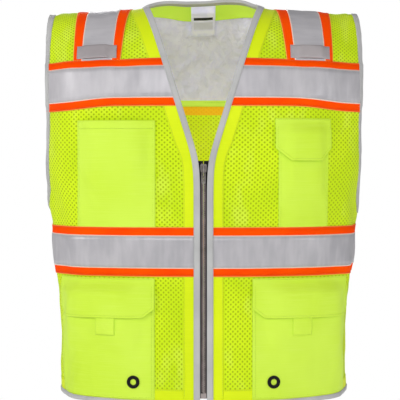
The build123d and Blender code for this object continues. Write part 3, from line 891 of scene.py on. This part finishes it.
def neck_place(t, inset):
    angle = mix(-PI / 2, PI / 2, t)
    half, depth = NECK_HALF + inset, NECK_DEPTH + inset
    return back_spot(half * np.sin(angle), np.maximum(0.0, depth * np.cos(angle)))


def hem_place(t, inset):
    start = float(turn_at(14.0, 5.0))
    return mix(start, 2 * PI - start, t), HEM + 0.75 * inset + 0.9


def bindings():
    front_level = lambda turn, v: 2.5 + 0.9 * over_bands(turn, v)
    arm_level = lambda turn, v: 2.1 + 1.3 * over_bands(turn, v)
    plain = lambda turn, v: 2.3
    for side, hand in HANDS:
        binding(f"edge_front_{hand}", front_place, 170, front_level, -0.7, side, f"front_binding_{hand}")
        node = f"armhole_binding_{hand}"
        binding(f"edge_armhole_{hand}", arm_place, 190, arm_level, -0.7, side, node, flip=True)
    binding("edge_back_neck", neck_place, 90, plain, -2.8, 1, "back_neck_binding")
    binding("edge_hem", hem_place, 300, plain, -1.7, 1, "hem_binding", flip=True)


# ---------------- facings, seams and label
def placket_facings():
    """Lime strips on the front edges, wider along the V neck."""
    rows = np.linspace(HEM + 1.5, TOP, 160)
    far = 25.0 + 4.0 * ease((rows - V_FOOT) / 40)
    turn, v = between(lambda q: (front_turn(q, 4.0), front_turn(q, far)), rows, 7)
    for side, hand in HANDS:
        layer(f"placket_facing_{hand}", turn, v, 0.8, 0.5, PLACKET, "lime_cloth", f"front_facing_{hand}",
              side=side)
        stitch_line("lime", front_turn(rows[3:], far[3:] - 1.5), rows[3:], 1.3, side)


def hem_facings():
    """Lime strips round the hem, outside and inside."""
    start = float(front_turn(10.0, 22.0))
    stretches = [(hand, start, PI / 2, 70, 120, side) for side, hand in HANDS]
    stretches.append(("back", PI / 2, 3 * PI / 2, 110, 220, 1))
    for word, first, last, columns, seam_points, side in stretches:
        turn, v = np.meshgrid(np.linspace(first, last, columns), np.linspace(HEM + 4, 22.0, 6))
        layer(f"hem_facing_outside_{word}", turn, v, 0.72, 0.45, PLACKET, "lime_cloth", side=side)
        stitch_line("lime", np.linspace(first, last, seam_points), 20.4, 1.17, side)
    start = float(turn_at(17.0, 15.0))
    turn, v = np.meshgrid(np.linspace(start, 2 * PI - start, 240), np.linspace(HEM + 4, 23.0, 6))
    layer("hem_facing_inside", turn, v, -0.7, 0.5, PLACKET, "lime_cloth", "hem_facing")


def neck_facing():
    """Lime crescent inside the back neck, over the lining."""
    s, angle = np.meshgrid(np.linspace(0, 1, 26), np.linspace(-1.45, 1.45, 180))
    half, depth = mix(NECK_HALF + 4, 117.0, s), mix(NECK_DEPTH + 4, 67.0, s)
    turn, v = back_spot(half * np.sin(angle), np.maximum(0.0, depth * np.cos(angle)))
    below_neck = neck_top(bare(turn, WALL)[..., 0], 4.0) - v
    level = lining_level(turn, v, below_neck) - 1.4
    layer("back_neck_facing_cloth", turn, v, level, 0.5, INNER_LIME, "lime_cloth", "back_neck_facing")


def shoulder_seam(side, hand):
    """Bound seam over the ridge of the shoulder."""
    x, reach = np.meshgrid(np.linspace(92.0, 232.0, 50), np.linspace(-7.0, 7.0, 7))
    v = RIDGE - np.maximum(0.15, np.abs(reach))
    turn = turn_at(x, v)
    turn = np.where(reach <= 0, turn, PI - turn)
    uv = np.stack([x, reach + 7], -1)
    layer(f"shoulder_seam_{hand}", turn, v, 0.75, 0.45, LIME, "lime_cloth", uv=uv, side=side)
    spot = turn_at(np.linspace(94.0, 230.0, 60), RIDGE - 5.5)
    for turn in (spot, PI - spot):
        stitch_line("lime", turn, RIDGE - 5.5, 1.2, side)


def side_seam(side, hand):
    """Overlocked seam down the side."""
    turns = np.linspace(PI / 2 - 0.045, PI / 2 + 0.045, 7)
    turn, v = np.meshgrid(turns, np.linspace(HEM + 6, UNDERARM + 3, 60))
    layer(f"side_seam_{hand}", turn, v, 0.7, 0.35, PLACKET, "lime_cloth", side=side)
    for share in (-0.03, 0.03):
        stitch_line("lime", np.full(90, PI / 2 + share), np.linspace(10, UNDERARM, 90), 1.05, side)


def label():
    """Woven label hanging from the back neck over the facing and the lining."""
    width, length = 40.0, 70.0
    top = float(back_spot(0.0, 33.0)[1])
    half = float(turn_at(width / 2, top - 30))
    turn, v = np.meshgrid(np.linspace(PI - half, PI + half, 14), np.linspace(top - length, top, 24))
    uv = np.stack([width / 2 * (1 - (turn - PI) / half), v - top + length], -1)
    curl = 1.2 * ease((top - v) / 60) * np.cos((turn - PI) / half * PI / 2) ** 2
    level = -3.8 - 7.2 * ease((top - v) / 14) - curl
    obj = layer("neck_label_woven", turn, v, level, 0.35, LABEL, "label_cloth", "neck_label", uv=uv)


# ---------------- pockets
def bag_sides(bag, v):
    """Turns of a pocket's two upright sides."""
    return turn_at(bag["x"][0], v), turn_at(bag["x"][1], v)


def bag_level(bag, turn, v):
    """Level of the pocket's cloth, standing off the panel in the middle."""
    first, last = bag_sides(bag, v)
    s = (turn - first) / (last - first)
    t = (v - bag["low"]) / (bag["mouth"] - bag["low"])
    sides = ease(s / 0.3) * ease((1 - s) / 0.3)
    return FACING + bag["depth"] * sides * ease((t - bag["flat"]) / (0.75 - bag["flat"]))


def pocket_soft(bag, turn, v):
    """Small unevenness of the pocket cloth: a turned edge, puckers and slack."""
    first, last = bag_sides(bag, v)
    edge = np.minimum(arc(turn) - arc(first), arc(last) - arc(turn))
    edge = np.minimum(edge, v - bag["low"] + 5 * (bag["low"] < 50))
    u = arc(turn)
    pucker = 0.22 * np.sin(u / 1.9 + v / 1.7) * around(edge, 4, 4)
    groove = -0.3 * around(edge, SEAM_INSET, 1.1)
    loose = ease((bag_level(bag, turn, v) - FACING - 0.2) / 3.5)
    slack = 1.3 * np.sin(u / 21 + v / 33 + 1.1 * np.sin(v / 41 + 1)) + 0.8 * np.sin(v / 17 - u / 29 + 0.6)
    hem = 0.5 * ease((v - bag["mouth"] + 14) / 1.5)
    return groove + pucker + loose * slack + hem


def pocket(name, bag, node, side):
    """Pocket bag with its side and hem stitches."""
    # A pocket near the hem is sewn down to the hem's binding.
    low = bag["low"] if bag["low"] > 50 else HEM + 8.5
    s, t = spots(64, 76)
    v = mix(low, bag["mouth"], t)
    first, last = bag_sides(bag, v)
    turn = mix(first, last, s)
    level = bag_level(bag, turn, v) + pocket_soft(bag, turn, v) + 0.2
    obj = layer(name, turn, v, level, 0.55, LIME, "lime_cloth", node, side=side)

    def line(s_a, v_a, s_b, v_b):
        height = np.linspace(v_a, v_b, 60)
        start, end = bag_sides(bag, height)
        seam = mix(start, end, np.linspace(s_a, s_b, 60))
        level = bag_level(bag, seam, height) + pocket_soft(bag, seam, height) + 0.72
        stitch_line("lime", seam, height, level, side)

    inset = 3.0 / (bag["x"][1] - bag["x"][0])
    for share in (inset, 1 - inset):
        line(share, low + 3, share, bag["mouth"] - 1)
        line(share - 0.02, bag["mouth"] - 4, share + 0.02, bag["mouth"] - 4)
    for height in (low + 3, bag["mouth"] - 12.5):
        line(inset, height, 1 - inset, height)


def flap_level(bag, shape, turn, v):
    """Level of a flap: on the panel at its top, over the bag below, with a soft droop."""
    over = bag_level(bag, turn, np.minimum(v, bag["mouth"])) - FACING + FLAP_GAP
    droop = 0.6 * np.sin(arc(turn) / 15 + 0.9) * ease((shape["top"] - v) / 40)
    return FACING + over * ease((shape["top"] - v) / (shape["top"] - bag["mouth"])) + droop


def flap(name, bag, shape, node, body, side):
    """Pocket flap with cut corners and a topstitched edge, rising from the panel at its top seam."""
    low, top, corner = shape["low"], shape["top"], shape["corner"]
    past = shape["past"] / DEPTH
    first, last = bag_sides(bag, (low + top) / 2)
    wide = float(arc(last + past) - arc(first - past))

    def place(share, v):
        start, end = bag_sides(bag, v)
        return mix(start - past, end + past, share)

    cut = corner / wide
    pieces = (np.linspace(0, cut, 9), np.linspace(cut, 1 - cut, 46), np.linspace(1 - cut, 1, 9))
    s, t = np.meshgrid(np.unique(np.concatenate(pieces)), np.linspace(0, 1, 40))
    gap = np.minimum(s, 1 - s) * wide
    v = mix(low + np.maximum(0, corner - gap), top, t)
    turn = place(s, v)
    edge = np.minimum(np.minimum(gap, v - low), (gap + v - low - corner) / 1.414)
    shaped = 0.35 * around(edge, 0, 2.2) - 0.3 * around(edge, SEAM_INSET, 1.1)
    level = flap_level(bag, shape, turn, v) + shaped + 0.45
    obj = layer(name, turn, v, level, 0.85, LIME, "lime_cloth", node, side=side, body=None)
    middle = float(place(0.5, np.array(top))) * side
    start, end = surface(middle, top, FACING), surface(middle, top - 9.0, FACING)
    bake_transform(obj)

    inset, turned = SEAM_INSET, corner + 1.4
    across = [inset, inset, turned, wide - turned, wide - inset, wide - inset]
    heights = [top - 12, low + turned, low + inset, low + inset, low + turned, top - 12]
    steps = np.linspace(0, 5, 180)
    v = np.interp(steps, range(6), heights)
    turn = place(np.interp(steps, range(6), across) / wide, v)
    stitch_line(body, turn, v, flap_level(bag, shape, turn, v) + 1.1, side)
    v = np.full(60, top - 2.0)
    turn = place(np.linspace(3 / wide, 1 - 3 / wide, 60), v)
    stitch_line("lime", turn, v, flap_level(bag, shape, turn, v) + 1.3, side)


def over_bag(name, bag, x, low, high, lift, thick, material, body, slot, node, side, crown=0.0):
    """Small rectangle of cloth that follows a pocket's surface."""
    s, t = spots(18, 14)
    v = mix(low, high, t)
    turn = mix(turn_at(x[0], v), turn_at(x[1], v), s)
    level = bag_level(bag, turn, v) + pocket_soft(bag, turn, v) * 0.8 + lift + crown * np.sin(PI * s)
    layer(name, turn, v, level, thick, material, slot, node, side=side, body=body)


def patches(ending, bag, x, low, high, nodes, body, side):
    """Loop patch on a pocket and hook patch on its flap."""
    kinds = (("loop", nodes[0], 0.75, 0.4, "vest"), ("hook", nodes[1], 1.75, 0.6, body))
    for kind, node, lift, thick, rides in kinds:
        name = f"{kind}_patch_{ending}"
        over_bag(name, bag, x, low, high, lift, thick, HOOK, rides, "hook_and_loop", node, side)


def chest_pockets():
    pocket("pocket_chest_right", OPEN_POCKET, "chest_pocket_right", -1)
    pocket("pocket_chest_left", FLAP_POCKET, "chest_pocket_left", 1)
    body = "chest_flap_body"
    flap("flap_chest", FLAP_POCKET, CHEST_FLAP, "chest_flap", body, 1)
    patches("chest", FLAP_POCKET, (134.0, 174.0), 374, 392, ("chest_loop_patch", "chest_hook_patch"), body, 1)


def cargo_pockets():
    middle = sum(CARGO_POCKET["x"]) / 2 + 5
    tab = (middle - 17, middle + 11)
    for side, hand in HANDS:
        body = f"cargo_flap_body_{hand}"
        pocket(f"pocket_cargo_{hand}", CARGO_POCKET, f"cargo_pocket_{hand}", side)
        flap(f"flap_cargo_{hand}", CARGO_POCKET, CARGO_FLAP, f"cargo_flap_{hand}", body, side)
        over_bag(f"pull_tab_{hand}", CARGO_POCKET, tab, 99.5, 136.0, 1.35, 1.0, LIME, body,
                 "lime_cloth", f"flap_pull_tab_{hand}", side, 0.4)
        nodes = f"cargo_loop_patch_{hand}", f"cargo_hook_patch_{hand}"
        patches(f"cargo_{hand}", CARGO_POCKET, (112.0, 182.0), 139, 155, nodes, body, side)


# ---------------- zipper and hardware
def zipper_tape(side, hand):
    """Narrow woven tape behind one row of teeth."""
    x, z = np.meshgrid(np.linspace(0.4, 14.5, 8), np.linspace(0.3, 366.0, 120))
    y = np.full(x.shape, 2.0 - DEPTH)
    front = np.stack([x * side, y - 0.55 + 0.1 * np.cos(x), z], -1)
    back = np.stack([x * side, y, z], -1)
    uv = np.stack([z, x - 0.4], -1)
    obj = shell(f"zipper_tape_cloth_{hand}", front, back, uv, BLACK_TAPE, flip=side < 0)
    add(obj, "vest", "zipper_cloth", f"zipper_tape_{hand}")


def dress(node, material, width):
    """Gives a CAD node its material and softens its edges by a width in millimetres."""
    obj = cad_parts[node]
    obj.data.materials.clear()
    obj.data.materials.append(material)
    bevel = obj.modifiers.new("soft_edges", "BEVEL")
    bevel.width = width * 0.001
    bevel.segments = 2
    bevel.limit_method = "ANGLE"
    bevel.angle_limit = math.radians(35)


def hardware():
    for hand in ("left", "right"):
        dress(f"zipper_teeth_{hand}", TEETH, 0.22)
        dress(f"grommet_{hand}", ENAMEL, 0.5)
        dress(f"grommet_washer_{hand}", ENAMEL, 0.2)
    dress("zipper_box", TEETH, 0.4)
    dress("zipper_slider", CHROME, 0.3)
    dress("zipper_slider_back", CHROME, 0.3)
    dress("zipper_pull", CHROME, 0.2)


# ---------------- stage
def floor():
    """Pale floor that fades to white away from the vest."""
    x, y = np.meshgrid(np.linspace(-3.4, 3.4, 12), np.linspace(-3.6, 2.2, 12))
    points = np.stack([x, y, np.full(x.shape, -0.45)], -1).reshape(-1, 3)
    mesh = bpy.data.meshes.new("floor")
    mesh.from_pydata(points.tolist(), [], grid_faces(12, 12, 0, False))
    obj = bpy.data.objects.new("floor", mesh)
    bpy.context.scene.collection.objects.link(obj)
    g = Graph("pale_floor", Emission_Strength=1.0)
    place = g.node("ShaderNodeTexCoord", out=3)
    far = g.ramp(g.node("ShaderNodeVectorMath", {0: place}, out=1, operation="LENGTH"), 0.9, 2.1)
    glow = g.mix(far, (123.55, 123.55, 123.55), (255, 255, 255))
    g.put(g.shader.inputs["Emission Color"], glow)
    pale = g.mix(g.ramp(g.noise(0.6), 0.3, 0.7), (246, 246, 246), (251, 251, 251))
    mesh.materials.append(g.finish(g.mix(far, pale, (0, 0, 0))))


def sky():
    """White all round, but dim as a light."""
    world = bpy.data.worlds.new("studio")
    world.use_nodes = True
    tree = world.node_tree
    path = tree.nodes.new("ShaderNodeLightPath")
    strength = tree.nodes.new("ShaderNodeMapRange")
    strength.inputs[3].default_value = WORLD_LIGHT
    strength.inputs[4].default_value = 1.0
    tree.links.new(path.outputs["Is Camera Ray"], strength.inputs[0])
    background = tree.nodes["Background"]
    background.inputs[0].default_value = (1.0, 1.0, 1.0, 1.0)
    tree.links.new(strength.outputs[0], background.inputs[1])
    bpy.context.scene.world = world


def lamp(name, place, aim, size, power):
    """Round soft lamp aimed at a point."""
    data = bpy.data.lights.new(name, "AREA")
    data.shape = "DISK"
    data.size = size
    data.energy = power
    obj = bpy.data.objects.new(name, data)
    obj.location = place
    obj.rotation_euler = (Vector(aim) - Vector(place)).to_track_quat("-Z", "Y").to_euler()
    bpy.context.scene.collection.objects.link(obj)


def camera():
    data = bpy.data.cameras.new("camera")
    data.lens = 127.6
    data.sensor_width = 36.0
    obj = bpy.data.objects.new("camera", data)
    obj.location = (-0.0054, -2.30, 0.375)
    obj.rotation_euler = (math.radians(90 - 1.82), 0, 0)
    bpy.context.scene.collection.objects.link(obj)
    bpy.context.scene.camera = obj
    bpy.context.scene.view_settings.view_transform = "Standard"


floor()
sky()
lamp("front", (-0.4, -2.6, 1.5), (0, 0, 0.4), 0.9, 20.5)
lamp("key", (-2.1, -1.2, 1.2), (0, 0, 0.3), 0.45, 19)
lamp("fill", (2.0, -1.8, 0.8), (0, 0, 0.3), 1.0, 15.5)
lamp("back", (-0.6, 2.8, 1.3), (0, 0, 0.36), 1.4, 30)
camera()

bands()
straps()
for side, hand in HANDS:
    front_panel(side, hand)
back_panel()
lining()
placket_facings()
hem_facings()
neck_facing()
for side, hand in HANDS:
    shoulder_seam(side, hand)
    side_seam(side, hand)
label()
mic_tabs()
bindings()
chest_pockets()
cargo_pockets()
for side, hand in HANDS:
    zipper_tape(side, hand)
hardware()

sew("stitches_orange", "orange", THREAD_ORANGE, "vest", "orange_tape")
sew("stitches_silver", "pale", THREAD_PALE, "vest", "silver_tape")
sew("stitches_grey", "grey", THREAD_GREY, "vest", "grey_binding")
sew("stitches_lime", "lime", THREAD_LIME, "vest", "lime_cloth")
for body in ("chest_flap_body", "cargo_flap_body_left", "cargo_flap_body_right"):
    sew(f"stitches_{body}", body, THREAD_LIME, body, "lime_cloth")
